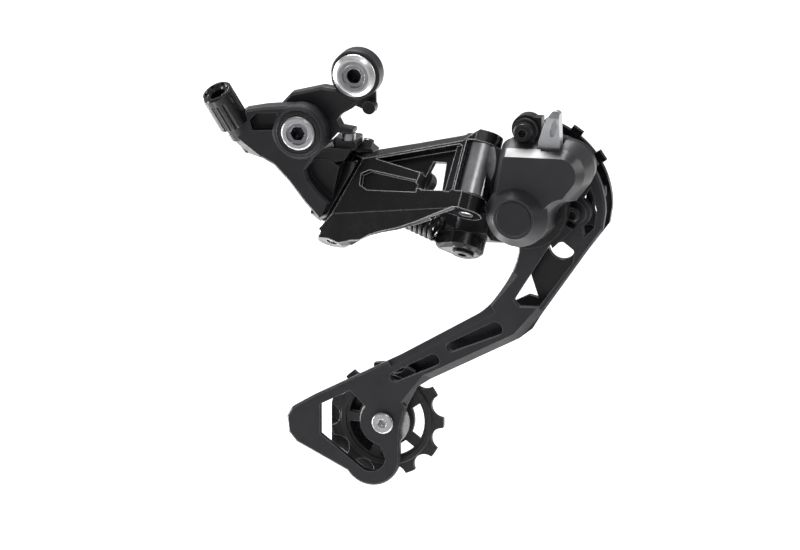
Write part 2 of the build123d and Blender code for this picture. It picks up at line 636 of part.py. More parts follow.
with BuildPart() as pivot_body:
    disc(CAGE_AXIS, 16.0, -1.0, COVER_BACK)
    disc(CAGE_AXIS, 13.0, HOUSING_BACK, -1.0)
    ring_hull(COVER_RINGS, -2.4, -2.4 - COVER_BACK, shrink=0.6, bite=COVER_BITE)
    # stop lug for the cage's stop pin
    lug = [polar(CAGE_AXIS, 11.8, LUG_SPAN[0]), polar(CAGE_AXIS, 19.2, LUG_SPAN[0]),
           polar(CAGE_AXIS, 19.2, LUG_SPAN[1]), polar(CAGE_AXIS, 11.8, LUG_SPAN[1])]
    block(lug, HOUSING_BACK, -1.0)
    # lug behind the cover screw, and the lever's stop block
    disc(COVER_SCREW_AXIS, 5.8, -2.4, COVER_BACK)
    block([(69.6, -21.0), (70.6, -13.0), (70.0, -11.4), (72.8, -11.4), (72.8, -21.0)], -3.0, COVER_BACK)
    # knuckle and barrel for the two front link pins, and the webs that carry them
    rod(OUTER_FRONT, KNUCKLE_RADIUS, -8.0, 12.0)
    pin_block([(55.0, -5.2), (62.0, -1.0), (72.0, 4.0), (72.0, 14.0), (53.0, 10.0), (51.5, 4.6)],
              -8.0, 12.0)
    rod(INNER_FRONT, INNER_KNUCKLE_RADIUS, -18.0, -10.0)
    pin_block([(46.7, 11.4), (62.0, 11.4), (66.0, 20.0), (48.0, 22.0)], -18.0, -10.0)
    # flat in front for the cover, free space behind for the cage
    block([(53.0, -70.0), (53.0, -5.0), (100.0, -5.0), (100.0, -70.0)], COVER_BACK, -40.0, Mode.SUBTRACT)
    block([(40.0, -80.0), (40.0, 0.0), (100.0, 0.0), (100.0, -80.0)], 20.0, HOUSING_BACK, Mode.SUBTRACT)
    block([(LEVER_X[0] - 0.7, -25.6), (LEVER_X[0] - 0.7, 0.0), (LEVER_X[1] + 0.7, 0.0),
           (LEVER_X[1] + 0.7, -25.6)], 0.0, COVER_BACK, Mode.SUBTRACT)
    rod(OUTER_FRONT, PIN_BORE, -9.0, 13.0, Mode.SUBTRACT)
    rod(INNER_FRONT, PIN_BORE + 0.1, -19.0, -9.0, Mode.SUBTRACT)
    rod(OUTER_FRONT, 7.3, 12.0, 20.0, Mode.SUBTRACT)
    rod(OUTER_FRONT, 6.4, -17.0, -8.0, Mode.SUBTRACT)
    rod(INNER_FRONT, 6.1, -10.0, -4.0, Mode.SUBTRACT)
    rod(INNER_FRONT, LOWER_EAR_RADIUS + 0.4, -27.0, -18.0, Mode.SUBTRACT)
    # spring cup and axle bore
    disc(CAGE_AXIS, 11.4, HOUSING_BACK, -5.2, Mode.SUBTRACT)
    disc(CAGE_AXIS, 6.2, HOUSING_BACK, COVER_BACK, Mode.SUBTRACT)
    disc(COVER_SCREW_AXIS, 1.8, -2.4, COVER_BACK, Mode.SUBTRACT)
    # short ribs round the lower left of the housing
    with BuildSketch(facing(-1.0)):
        with Locations(CAGE_AXIS):
            with PolarLocations(16.3, 7, start_angle=208, angular_range=66):
                Circle(0.9)
    extrude(amount=4.6, mode=Mode.SUBTRACT)
save(pivot_body.part, "pivot_body")

with BuildPart() as cage_bush:
    disc(CAGE_AXIS, 6.2, -4.4, COVER_BACK)
    disc(CAGE_AXIS, 7.6, -4.4, -5.2)
    disc(CAGE_AXIS, AXLE_BORE, -4.4, COVER_BACK, Mode.SUBTRACT)
save(cage_bush.part, "cage_bush")

with BuildPart() as housing_seal:
    disc(CAGE_AXIS, 11.4, 4.5, 3.6)
    disc(CAGE_AXIS, 8.5, 4.5, 3.6, Mode.SUBTRACT)
save(housing_seal.part, "housing_seal")

with BuildPart() as cage_spring:
    with BuildLine() as torsion_coil:
        Helix(
            pitch=1.9,
            height=5.6,
            radius=9.2,
            center=(CAGE_AXIS[0], -3.2, CAGE_AXIS[1]),
            direction=(0, 1, 0),
        )
    with BuildSketch(Plane(origin=torsion_coil.line @ 0, z_dir=torsion_coil.line % 0)):
        Circle(0.85)
    sweep(path=torsion_coil.line, is_frenet=True)
save(cage_spring.part, "cage_spring")

# ---------------------------------------------------------------- clutch and cover
BITE_WALL = (COVER_BITE[0], COVER_BITE[1] - 0.8)
CAM_RADIUS = 2.4
CAM_THROW = 0.6
CAM_X = (LEVER_X[1] + 0.9, LEVER_X[1] + 3.1)
SPINDLE_X = (LEVER_X[0] - 2.4, LEVER_X[1] + 5.4)

with BuildPart() as clutch_cover:
    ring_hull(COVER_RINGS, COVER_BACK, COVER_BACK - COVER_SHOULDER, taper=12, bite=COVER_BITE)
    shoulder_inset = (COVER_BACK - COVER_SHOULDER) * math.tan(math.radians(12))
    ring_hull(COVER_RINGS, COVER_SHOULDER, COVER_SHOULDER - COVER_TOP, taper=26,
              shrink=shoulder_inset, bite=COVER_BITE)
    # collar round the cage axle
    with BuildSketch(facing(-18.6)):
        with Locations(CAGE_AXIS):
            Circle(12.2)
    extrude(amount=-18.6 - COLLAR_TOP, taper=39)
    # tab under the cover screw
    disc(COVER_SCREW_AXIS, 4.7, COVER_BACK, -9.2)
    block([(63.6, -22.0), (63.6, -16.4), (70.2, -16.4), (70.2, -22.0)], COVER_BACK, -9.2)
    # clear the screw head in front of the tab
    disc(COVER_SCREW_AXIS, 4.1, -9.2, -30.0, Mode.SUBTRACT)
    # hollow inside
    ring_hull(COVER_RINGS, COVER_BACK, COVER_BACK + 14.0, shrink=2.4, bite=BITE_WALL, mode=Mode.SUBTRACT)
    ring_hull(COVER_RINGS, -14.0, 4.2, shrink=4.4, bite=BITE_WALL, mode=Mode.SUBTRACT)
    # bearing blocks for the lever's spindle
    block([(70.6, -27.4), (70.6, -21.8), (72.9, -21.8), (72.9, -27.4)], -8.0, -15.0)
    block([(85.3, -27.4), (85.3, -22.6), (87.4, -23.2), (87.4, -27.4)], -8.0, -15.0)
    disc(CAGE_AXIS, 6.0, -18.2, -21.6, Mode.SUBTRACT)
    disc(CAGE_AXIS, 7.05, -22.8, COLLAR_TOP, Mode.SUBTRACT)
    disc(COVER_SCREW_AXIS, 1.8, COVER_BACK, -9.2, Mode.SUBTRACT)
    # pocket for the clutch lever
    block([(LEVER_X[0] - 0.5, -27.4), (LEVER_X[0] - 0.5, -10.0), (LEVER_X[1] + 0.5, -10.0),
           (LEVER_X[1] + 0.5, -27.4)], COVER_BACK, -15.0, Mode.SUBTRACT)
    block([(74.8, -22.6), (74.8, -10.0), (78.6, -10.0), (78.6, -21.8)], -15.0, -16.4, Mode.SUBTRACT)
    with BuildSketch(SPINDLE_SIDE.offset(LEVER_X[1] + 0.4)):
        with Locations(LEVER_AXIS):
            Circle(CAM_RADIUS + CAM_THROW + 0.3)
    extrude(amount=3.0, mode=Mode.SUBTRACT)
    # spindle holes in the pocket's side walls
    with BuildSketch(SPINDLE_SIDE.offset(SPINDLE_X[0] - 0.1)):
        with Locations(LEVER_AXIS):
            Circle(1.65)
    extrude(amount=SPINDLE_X[1] - SPINDLE_X[0] + 0.2, mode=Mode.SUBTRACT)
save(clutch_cover.part, "clutch_cover")

with BuildPart() as cover_cap:
    disc(CAGE_AXIS, 7.0, -22.8, -24.2)
    chamfer(front_edges(cover_cap, -24.2), length=0.4)
save(cover_cap.part, "cover_cap")

with BuildPart() as cover_screw:
    disc(COVER_SCREW_AXIS, 3.6, -9.2, -13.4)
    chamfer(front_edges(cover_screw, -13.4), length=0.5)
    disc(COVER_SCREW_AXIS, 1.8, -3.0, -9.2)
    socket(COVER_SCREW_AXIS, HEX_3, -11.0, -13.4)
save(cover_screw.part, "cover_screw")

with BuildPart() as roller_clutch:
    disc(CAGE_AXIS, 8.4, -8.2, -17.4)
    disc(CAGE_AXIS, AXLE_BORE, -8.2, -17.4, Mode.SUBTRACT)
save(roller_clutch.part, "roller_clutch")

TAIL_DIRECTION = 52  # degrees, from the cage axis towards the lever's cam
with BuildPart() as friction_band:
    disc(CAGE_AXIS, 9.8, -8.6, -13.4)
    with BuildSketch(facing(-8.6)):
        with Locations(Location(CAGE_AXIS, TAIL_DIRECTION)):
            with Locations((13.2, 1.7), (13.2, -1.7)):
                Rectangle(9.0, 2.4)
    extrude(amount=4.8)
    disc(CAGE_AXIS, 8.42, -8.6, -13.4, Mode.SUBTRACT)
    with BuildSketch(facing(-8.6)):
        with Locations(Location(CAGE_AXIS, TAIL_DIRECTION)):
            with Locations((10.0, 0)):
                Rectangle(4.0, 1.0)
    extrude(amount=4.8, mode=Mode.SUBTRACT)
save(friction_band.part, "friction_band")

with BuildPart() as clutch_lever:
    # blade: thick at the spindle, thinner and rounded at the tip, leaning outboard
    with BuildSketch(SPINDLE_SIDE.offset(LEVER_X[0])):
        with BuildLine():
            Polyline((-14.0, -24.4), (-15.4, -9.0), (-14.4, -6.4), (-12.4, -6.1), (-11.0, -8.0),
                     (-9.2, -24.4))
            ThreePointArc((-9.2, -24.4), (-11.6, -26.8), (-14.0, -24.4))
        make_face()
    extrude(amount=LEVER_X[1] - LEVER_X[0])
    # seen from the front the blade leans forward to a rounded tip
    with BuildSketch(facing(-4.0)):
        with BuildLine():
            Polyline((LEVER_X[1], -28.0), (LEVER_X[1], -8.4))
            ThreePointArc((LEVER_X[1], -8.4), (80.7, -6.3), (78.8, -6.8))
            Polyline((78.8, -6.8), (76.8, -9.6), (75.2, -13.6), (LEVER_X[0], -18.7), (LEVER_X[0], -28.0),
                     (LEVER_X[1], -28.0))
        make_face()
    extrude(amount=14.0, mode=Mode.INTERSECT)
    # hollow for the thumb
    block([(80.4, -8.8), (79.0, -11.2), (78.0, -14.4), (78.2, -16.6), (79.8, -16.0), (81.2, -12.6)],
          -14.1, -20.0, Mode.SUBTRACT)
    with BuildSketch(SPINDLE_SIDE.offset(SPINDLE_X[0])):
        with Locations(LEVER_AXIS):
            Circle(1.6)
    extrude(amount=SPINDLE_X[1] - SPINDLE_X[0])
save(clutch_lever.part, "clutch_lever")

with BuildPart() as clutch_cam:
    with BuildSketch(SPINDLE_SIDE.offset(CAM_X[0])):
        with Locations((LEVER_AXIS[0], LEVER_AXIS[1] - CAM_THROW)):
            Circle(CAM_RADIUS)
        with Locations(LEVER_AXIS):
            Circle(1.6, mode=Mode.SUBTRACT)
    extrude(amount=CAM_X[1] - CAM_X[0])
save(clutch_cam.part, "clutch_cam")

# ---------------------------------------------------------------- chain cage
# arc of both plates over the guide pulley
GUARD_TOP, GUARD_MIDDLE, GUARD_END = (68.0, -18.2), (89.0, -32.3), (94.2, -50.4)
# lightening slots of the arm: two end circles each
ARM_SLOTS = (
    [((34.0, -107.9), 1.9), ((51.4, -99.3), 2.8)],
    [((11.8, -121.5), 1.9), ((26.9, -113.7), 2.5)],
)
UPPER_WINDOW = [
    (58.4, -87.6),
    (72.6, -64.6),
    (77.8, -62.8),
    (82.2, -66.0),
    (81.8, -70.6),
    (68.2, -89.6),
    (60.6, -90.0),
]
GUARD_CENTRE, GUARD_RADIUS = (62.3, -49.8), 32.0
TAB_ANGLES = (57, 34)
BOLT_LAND = 9.0  # radius left round the tension pulley's bolt

with BuildPart() as outer_cage_plate:
    with BuildSketch(facing(OUTER_PLATE_BACK)):
        with BuildLine():
            ThreePointArc(GUARD_TOP, GUARD_MIDDLE, GUARD_END)
            Polyline(GUARD_END, (93.2, -57.0), (68.8, -93.0), (65.6, -98.4), (60.5, -102.6), (25.4, -121.6),
                     (20.4, -125.0), (16.2, -133.0), (13.6, -142.0), (13.5, -154.2))
            ThreePointArc((13.5, -154.2), (3.4, -165.3), (-7.2, -160.2))
            Polyline((-7.2, -160.2), (-27.4, -150.4), (-30.6, -146.6), (-31.2, -140.6),
                     (-29.2, -136.8), (-20.7, -131.5), (13.9, -112.7), (43.0, -95.0))
            Spline((43.0, -95.0), (53.1, -84.5), (59.8, -70.6), (60.2, -61.0),
                   tangents=[(1, 0.6), (-0.1, 1)])
            Polyline((60.2, -61.0), (53.4, -55.0), (51.4, -46.0), (54.6, -36.0), GUARD_TOP)
        make_face()
        # window at the lower end, and the one round the stop pin
        with BuildLine():
            Polyline((-17.9, -146.6), (-17.9, -134.6), (-6.0, -128.2), polar(TENSION_AXIS, BOLT_LAND, 140))
            ThreePointArc(polar(TENSION_AXIS, BOLT_LAND, 140),
                          polar(TENSION_AXIS, BOLT_LAND, 205),
                          polar(TENSION_AXIS, BOLT_LAND, 262))
            Line(polar(TENSION_AXIS, BOLT_LAND, 262), (8.0, -154.2))
            ThreePointArc((8.0, -154.2), (3.6, -159.6), (-1.6, -158.6))
            Line((-1.6, -158.6), (-17.9, -146.6))
        make_face(mode=Mode.SUBTRACT)
        with BuildLine():
            Polyline(polar(STOP_PIN_AXIS, 6.2, 60), (88.6, -40.6), (91.0, -49.6), (90.0, -56.6),
                     (86.0, -60.6),
                     polar(STOP_PIN_AXIS, 6.2, -62))
            ThreePointArc(polar(STOP_PIN_AXIS, 6.2, -62), polar(STOP_PIN_AXIS, 6.2, 0),
                          polar(STOP_PIN_AXIS, 6.2, 60))
        make_face(mode=Mode.SUBTRACT)
    extrude(amount=OUTER_PLATE_BACK - OUTER_PLATE_FRONT)
    front_face = outer_cage_plate.faces().sort_by(Axis.Y)[0]
    chamfer(front_face.outer_wire().edges(), length=0.6)
    ring_hull(ARM_SLOTS[0], OUTER_PLATE_BACK, 2.6, mode=Mode.SUBTRACT)
    ring_hull(ARM_SLOTS[1], OUTER_PLATE_BACK, 2.6, mode=Mode.SUBTRACT)
    with BuildSketch(facing(OUTER_PLATE_BACK)) as upper_window:
        Polygon(*UPPER_WINDOW, align=None)
        fillet(upper_window.vertices(), radius=1.2)
    extrude(upper_window.sketch, amount=2.6, mode=Mode.SUBTRACT)
    # broad bevels along the arm
    wedge_cut((58.0, -76.0), (43.0, -95.0), 2.8, 1.5, OUTER_PLATE_FRONT)
    wedge_cut((50.0, -90.8), (9.0, -115.6), 2.8, 1.5, OUTER_PLATE_FRONT)
    wedge_cut((24.0, -122.4), (64.0, -100.8), 2.8, 1.5, OUTER_PLATE_FRONT)
    wedge_cut((60.5, -102.6), (70.0, -91.2), 2.8, 1.5, OUTER_PLATE_FRONT)
    wedge_cut((16.2, -133.0), (25.4, -120.8), 2.8, 1.5, OUTER_PLATE_FRONT)
    disc(STOP_PIN_AXIS, 4.5, OUTER_PLATE_FRONT, 5.0)
    disc(CAGE_AXIS, 8.0, OUTER_PLATE_BACK, OUTER_PLATE_FRONT, Mode.SUBTRACT)
    disc(STOP_PIN_AXIS, 1.6, OUTER_PLATE_BACK, 5.0, Mode.SUBTRACT)
    disc(TENSION_AXIS, BOLT_RADIUS, OUTER_PLATE_BACK, OUTER_PLATE_FRONT, Mode.SUBTRACT)
save(outer_cage_plate.part, "outer_cage_plate")

with BuildPart() as inner_cage_plate:
    with BuildSketch(facing(INNER_PLATE_BACK)):
        with BuildLine():
            ThreePointArc(GUARD_TOP, GUARD_MIDDLE, GUARD_END)
            Polyline(GUARD_END, (93.2, -57.0), (67.6, -92.2), (59.8, -101.6), (25.4, -120.6), (12.6, -129.0),
                     (9.4, -140.0), (9.0, -159.0))
            ThreePointArc((9.0, -159.0), (3.4, -163.0), (-3.6, -161.4))
            Polyline((-3.6, -161.4), (-12.2, -155.0), (-16.4, -152.2), (-16.4, -137.0), (-11.6, -131.0),
                     (14.7, -114.1), (43.8, -96.6), (56.5, -90.5), (61.6, -87.8), (65.5, -88.6),
                     (62.8, -80.6), (60.4, -70.0), (58.0, -58.0), (58.0, -30.0), GUARD_TOP)
        make_face()
        # openings round the guide pulley's hub, and one below its teeth
        with Locations(GUIDE_AXIS):
            with PolarLocations(14.5, 3, start_angle=80):
                SlotOverall(17.0, 9.0, rotation=90, mode=Mode.SUBTRACT)
        with Locations((74.6, -67.6)):
            Circle(5.2, mode=Mode.SUBTRACT)
        # chain guard tabs on the rim
        for tab_angle in TAB_ANGLES:
            with Locations(Location(polar(GUARD_CENTRE, GUARD_RADIUS, tab_angle), tab_angle)):
                Rectangle(4.0, 4.6)
    extrude(amount=INNER_PLATE_BACK - INNER_PLATE_FRONT)
    disc(GUIDE_AXIS, BOLT_RADIUS, INNER_PLATE_BACK, INNER_PLATE_FRONT, Mode.SUBTRACT)
    disc(TENSION_AXIS, BOLT_RADIUS, INNER_PLATE_BACK, INNER_PLATE_FRONT, Mode.SUBTRACT)
save(inner_cage_plate.part, "inner_cage_plate")

with BuildPart() as cage_axle:
    disc(CAGE_AXIS, AXLE_RADIUS, 5.0, -20.8)
    chamfer(front_edges(cage_axle, -20.8), length=0.8)
    disc(CAGE_AXIS, 8.0, OUTER_PLATE_BACK, 4.9)
    disc(GUIDE_AXIS, BOLT_RADIUS, OUTER_PLATE_BACK, 5.4, Mode.SUBTRACT)
save(cage_axle.part, "cage_axle")

with BuildPart() as cage_stop_pin:
    disc(STOP_PIN_AXIS, 2.9, 3.4, 0.6)
    chamfer(front_edges(cage_stop_pin, 0.6), length=0.4)
    disc(STOP_PIN_AXIS, 1.6, OUTER_PLATE_BACK, 3.4)
    socket(STOP_PIN_AXIS, HEX_3, 2.4, 0.6)
save(cage_stop_pin.part, "cage_stop_pin")

with BuildPart() as tension_pulley_bolt:
    disc(TENSION_AXIS, 4.3, OUTER_PLATE_FRONT, 4.2)
    chamfer(front_edges(tension_pulley_bolt, 4.2), length=0.5)
    disc(TENSION_AXIS, BOLT_RADIUS, INNER_PLATE_BACK, OUTER_PLATE_FRONT)
    socket(TENSION_AXIS, HEX_3, 7.0, 4.2)
save(tension_pulley_bolt.part, "tension_pulley_bolt")

with BuildPart() as guide_pulley_bolt:
    disc(GUIDE_AXIS, 4.3, 20.0, INNER_PLATE_BACK)
    disc(GUIDE_AXIS, BOLT_RADIUS, INNER_PLATE_BACK, 5.4)
    socket(GUIDE_AXIS, HEX_3, 20.0, 17.0)
save(guide_pulley_bolt.part, "guide_pulley_bolt")

# ---------------------------------------------------------------- pulleys
SLEEVE_RADIUS = 3.5
HUB_HALF = 3.2  # half the width of a pulley's hub
TOOTH_HALF = 1.2
RIM_HALF = 1.9
WINDOW_INNER, WINDOW_OUTER = 10.9, 14.9  # ring of windows between hub and rim
SPOKE = 4.0


# name, axis, and the angle of the first gap between teeth
for pulley_name, centre, first_gap in (
    ("guide_pulley", GUIDE_AXIS, 18.6),
    ("tension_pulley", TENSION_AXIS, 16.4),
):
    with BuildPart() as pulley:
        with BuildSketch(facing(PULLEY_MIDDLE + TOOTH_HALF)):
            with Locations(centre):
                Circle(TIP_RADIUS)
                with PolarLocations(PITCH_RADIUS + 0.5, PULLEY_TEETH, start_angle=first_gap):
                    Circle(4.45, mode=Mode.SUBTRACT)
        extrude(amount=2 * TOOTH_HALF)
        disc(centre, 18.0, PULLEY_MIDDLE + RIM_HALF, PULLEY_MIDDLE - RIM_HALF)
        disc(centre, 16.0, PULLEY_MIDDLE + RIM_HALF, PULLEY_MIDDLE + 1.1, Mode.SUBTRACT)
        disc(centre, 16.0, PULLEY_MIDDLE - 1.1, PULLEY_MIDDLE - RIM_HALF, Mode.SUBTRACT)
        disc(centre, 9.4, PULLEY_MIDDLE + HUB_HALF, PULLEY_MIDDLE - HUB_HALF)
        with BuildSketch(facing(PULLEY_MIDDLE + RIM_HALF)):
            with Locations(centre):
                Circle(WINDOW_OUTER)
                Circle(WINDOW_INNER, mode=Mode.SUBTRACT)
                with PolarLocations(12.8, 5, start_angle=36):
                    Rectangle(6.0, SPOKE, mode=Mode.SUBTRACT)
        extrude(amount=2 * RIM_HALF, mode=Mode.SUBTRACT)
        disc(centre, SLEEVE_RADIUS + 0.05, 20, 4, Mode.SUBTRACT)
    save(pulley.part, pulley_name)

for end_name, centre in (("guide", GUIDE_AXIS), ("tension", TENSION_AXIS)):
    with BuildPart() as sleeve:
        disc(centre, SLEEVE_RADIUS, INNER_PLATE_FRONT, OUTER_PLATE_BACK)
        disc(centre, BOLT_RADIUS, INNER_PLATE_FRONT, OUTER_PLATE_BACK, Mode.SUBTRACT)
    save(sleeve.part, f"{end_name}_sleeve")
    with BuildPart() as caps:
        for back, front in ((OUTER_PLATE_BACK + 0.6, OUTER_PLATE_BACK),
                            (INNER_PLATE_FRONT, INNER_PLATE_FRONT - 0.6)):
            disc(centre, 9.8, back, front)
        disc(centre, SLEEVE_RADIUS, INNER_PLATE_FRONT, OUTER_PLATE_BACK, Mode.SUBTRACT)
    save(caps.part, f"{end_name}_dust_caps")
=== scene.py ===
import math

import bpy
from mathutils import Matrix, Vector


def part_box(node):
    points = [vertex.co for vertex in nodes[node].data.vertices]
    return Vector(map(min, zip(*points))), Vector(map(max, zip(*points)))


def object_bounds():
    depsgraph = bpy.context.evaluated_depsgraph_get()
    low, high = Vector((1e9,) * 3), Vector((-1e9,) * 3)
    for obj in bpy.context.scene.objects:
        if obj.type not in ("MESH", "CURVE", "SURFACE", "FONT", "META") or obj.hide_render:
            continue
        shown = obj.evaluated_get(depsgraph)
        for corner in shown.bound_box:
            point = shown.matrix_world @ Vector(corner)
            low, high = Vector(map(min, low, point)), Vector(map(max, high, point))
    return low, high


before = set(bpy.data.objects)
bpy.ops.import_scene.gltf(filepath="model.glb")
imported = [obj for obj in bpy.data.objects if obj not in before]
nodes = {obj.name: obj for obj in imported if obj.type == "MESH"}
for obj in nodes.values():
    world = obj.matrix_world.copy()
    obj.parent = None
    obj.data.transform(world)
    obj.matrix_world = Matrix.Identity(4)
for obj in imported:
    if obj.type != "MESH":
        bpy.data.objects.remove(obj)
cad_box = [list(corner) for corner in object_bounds()]
MM = 0.001

# ------------------------------------------------------------------ camera
AZIMUTH, ELEVATION = math.radians(16), math.radians(16)
TARGET = Vector((20.1, -16.4, -74.4)) * MM
DISTANCE = 4.5
FRAME_WIDTH = 0.302  # what the picture's width covers at the target

camera_data = bpy.data.cameras.new("camera")
camera = bpy.data.objects.new("camera", camera_data)
bpy.context.scene.collection.objects.link(camera)
bpy.context.scene.camera = camera
backward = Vector((
    math.sin(AZIMUTH) * math.cos(ELEVATION),
    -math.cos(AZIMUTH) * math.cos(ELEVATION),
    math.sin(ELEVATION),
))
camera.location = TARGET + backward * DISTANCE
camera.rotation_mode = "QUATERNION"
camera.rotation_quaternion = (-backward).to_track_quat("-Z", "Y")
camera_data.sensor_width = 36
camera_data.lens = 36 * DISTANCE / FRAME_WIDTH
camera_data.clip_start = 0.05
camera_data.clip_end = 50


# ------------------------------------------------------------------ materials
NOISE_ROUGHNESS = 0.55
RADIANS_PER_TURN = 6.283
RINGS_PER_METRE = 3500
MASK_STEP = 0.0001  # over what distance a mask goes from 0 to 1, in metres
RIM_STEP = 0.0002
EDGE_REACH = (0.0005, 0.02, 0.25)  # radius in metres, then where wear starts and is complete
# painted shade: the inside of a hex socket is coloured dark where its recess falls in shade
SOCKET_PAINTED_SHADE = (0.05, 0.05, 0.055)  # the inside of a hex socket


class Graph:
    """A material's node tree, with short calls for the few nodes used here."""

    def __init__(self, name):
        self.material = bpy.data.materials.new(name)
        self.material.use_nodes = True
        self.tree = self.material.node_tree
        self.tree.nodes.clear()
        self.output = self.add("ShaderNodeOutputMaterial")
        self.shader = self.add("ShaderNodeBsdfPrincipled")
        self.link(self.shader.outputs["BSDF"], self.output.inputs["Surface"])
        self.place = self.add("ShaderNodeTexCoord").outputs["Object"]

    def add(self, kind):
        return self.tree.nodes.new(kind)

    def link(self, source, target):
        self.tree.links.new(source, target)

    def noise(self, per_metre, detail):
        """Noise with a feature size of about 1 / per_metre."""
        texture = self.add("ShaderNodeTexNoise")
        texture.inputs["Scale"].default_value = per_metre
        texture.inputs["Detail"].default_value = detail
        texture.inputs["Roughness"].default_value = NOISE_ROUGHNESS
        self.link(self.place, texture.inputs["Vector"])
        return texture.outputs["Fac"]

    def spread(self, value, low, high, source_low=0.3, source_high=0.7):
        """The value rescaled to run from low to high."""
        scale = self.add("ShaderNodeMapRange")
        scale.inputs["From Min"].default_value = source_low
        scale.inputs["From Max"].default_value = source_high
        scale.inputs["To Min"].default_value = low
        scale.inputs["To Max"].default_value = high
        self.link(value, scale.inputs["Value"])
        return scale.outputs["Result"]

    def blend(self, factor, first, second):
        mix = self.add("ShaderNodeMix")
        mix.data_type = "RGBA"
        self.link(factor, mix.inputs["Factor"])
        for socket, colour in (("A", first), ("B", second)):
            target = [s for s in mix.inputs if s.name == socket and s.type == "RGBA"][0]
            if isinstance(colour, tuple):
                target.default_value = (*colour, 1)
            else:
                self.link(colour, target)
        return [s for s in mix.outputs if s.type == "RGBA"][0]

    def bump(self, height, strength, distance, below=None):
        node = self.add("ShaderNodeBump")
        node.inputs["Strength"].default_value = strength
        node.inputs["Distance"].default_value = distance
        self.link(height, node.inputs["Height"])
        if below is not None:
            self.link(below, node.inputs["Normal"])
        return node.outputs["Normal"]

    def wear_and_highlight_edges(self, radius, low, high):
        """1 on sharp edges and 0 on flats, from how far a rounded normal leaves the true one."""
        rounded = self.add("ShaderNodeBevel")
        rounded.samples = 4
        rounded.inputs["Radius"].default_value = radius
        true = self.add("ShaderNodeNewGeometry")
        dot = self.add("ShaderNodeVectorMath")
        dot.operation = "DOT_PRODUCT"
        self.link(rounded.outputs["Normal"], dot.inputs[0])
        self.link(true.outputs["Normal"], dot.inputs[1])
        return self.spread(dot.outputs["Value"], 1.0, 0.0, 1 - high, 1 - low)


def coated(name, dark, light, metallic, roughness, grain=900, grain_depth=0.00003, edge=None,
           shine=0.4, edge_reach=EDGE_REACH):
    """Painted, anodised or moulded surface: mottled colour, fine grain, lighter edges."""
    g = Graph(name)
    tone = g.blend(g.spread(g.noise(60, detail=5), 0, 1), dark, light)
    if edge:
        tone = g.blend(g.wear_and_highlight_edges(*edge_reach), tone, edge)
    g.link(tone, g.shader.inputs["Base Color"])
    g.link(g.spread(g.noise(180, detail=6), roughness[0], roughness[1]), g.shader.inputs["Roughness"])
    g.shader.inputs["Metallic"].default_value = metallic
    g.shader.inputs["Specular IOR Level"].default_value = shine
    soft = g.bump(g.noise(grain, detail=3), 0.35, grain_depth)
    g.link(soft, g.shader.inputs["Normal"])
    return g.material


def centre_of(node):
    low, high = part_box(node)
    return tuple((a + b) / 2 for a, b in zip(low, high))


def turned(name, dark, light, roughness, node, rim=None):
    """Turned metal: fine rings round a node's own Y axis, with faint scratches.

    rim is (socket radius, bright rim's inner radius, colour between them), where there is one; inside the
    socket the colour is a painted shade."""
    g = Graph(name)
    shift = g.add("ShaderNodeVectorMath")
    shift.operation = "SUBTRACT"
    shift.inputs[1].default_value = centre_of(node)
    g.link(g.place, shift.inputs[0])
    flat = g.add("ShaderNodeVectorMath")
    flat.operation = "MULTIPLY"
    flat.inputs[1].default_value = (1, 0, 1)
    g.link(shift.outputs["Vector"], flat.inputs[0])
    reach = g.add("ShaderNodeVectorMath")
    reach.operation = "LENGTH"
    g.link(flat.outputs["Vector"], reach.inputs[0])
    wave = g.add("ShaderNodeMath")
    wave.operation = "MULTIPLY"
    wave.inputs[1].default_value = RINGS_PER_METRE * RADIANS_PER_TURN
    g.link(reach.outputs["Value"], wave.inputs[0])
    sine = g.add("ShaderNodeMath")
    sine.operation = "SINE"
    g.link(wave.outputs["Value"], sine.inputs[0])
    cloud = g.noise(220, detail=6)
    tone = g.blend(g.spread(cloud, 0, 1), dark, light)
    if rim:
        inner, outer, shade = rim
        dull = g.blend(g.spread(cloud, 0, 1), shade, tuple(1.4 * part for part in shade))
        socket = g.spread(reach.outputs["Value"], 0, 1, inner, inner + RIM_STEP)
        land = g.spread(reach.outputs["Value"], 0, 1, outer, outer + RIM_STEP)
        # the hex socket's inside gets the painted shade colour
        tone = g.blend(land, g.blend(socket, SOCKET_PAINTED_SHADE, dull), tone)
    g.link(tone, g.shader.inputs["Base Color"])
    g.link(g.spread(g.noise(500, detail=5), roughness[0], roughness[1]), g.shader.inputs["Roughness"])
    g.shader.inputs["Metallic"].default_value = 1.0
    ringed = g.bump(sine.outputs["Value"], 0.12, 0.00002)
    g.link(g.bump(g.noise(1500, detail=4), 0.12, 0.00003, ringed), g.shader.inputs["Normal"])
    return g.material


def bare_barrel(g, start, direction, radius, low, high, dark_tone, bare_tone):
    """Blends to bare metal on a barrel round an axis; returns the tone and the mask."""
    rel = g.add("ShaderNodeVectorMath")
    rel.operation = "SUBTRACT"
    rel.inputs[1].default_value = start
    g.link(g.place, rel.inputs[0])
    height = g.add("ShaderNodeVectorMath")
    height.operation = "DOT_PRODUCT"
    height.inputs[1].default_value = direction
    g.link(rel.outputs["Vector"], height.inputs[0])
    across = g.add("ShaderNodeVectorMath")
    across.operation = "CROSS_PRODUCT"
    across.inputs[1].default_value = direction
    g.link(rel.outputs["Vector"], across.inputs[0])
    reach = g.add("ShaderNodeVectorMath")
    reach.operation = "LENGTH"
    g.link(across.outputs["Vector"], reach.inputs[0])
    inside = g.spread(reach.outputs["Value"], 1, 0, radius, radius + MASK_STEP)
    above = g.spread(height.outputs["Value"], 0, 1, low, low + MASK_STEP)
    below = g.spread(height.outputs["Value"], 1, 0, high, high + MASK_STEP)
    first = g.add("ShaderNodeMath")
    first.operation = "MULTIPLY"
    g.link(inside, first.inputs[0])
    g.link(above, first.inputs[1])
    mask = g.add("ShaderNodeMath")
    mask.operation = "MULTIPLY"
    g.link(first.outputs["Value"], mask.inputs[0])
    g.link(below, mask.inputs[1])
    return g.blend(mask.outputs["Value"], dark_tone, bare_tone), mask.outputs["Value"]


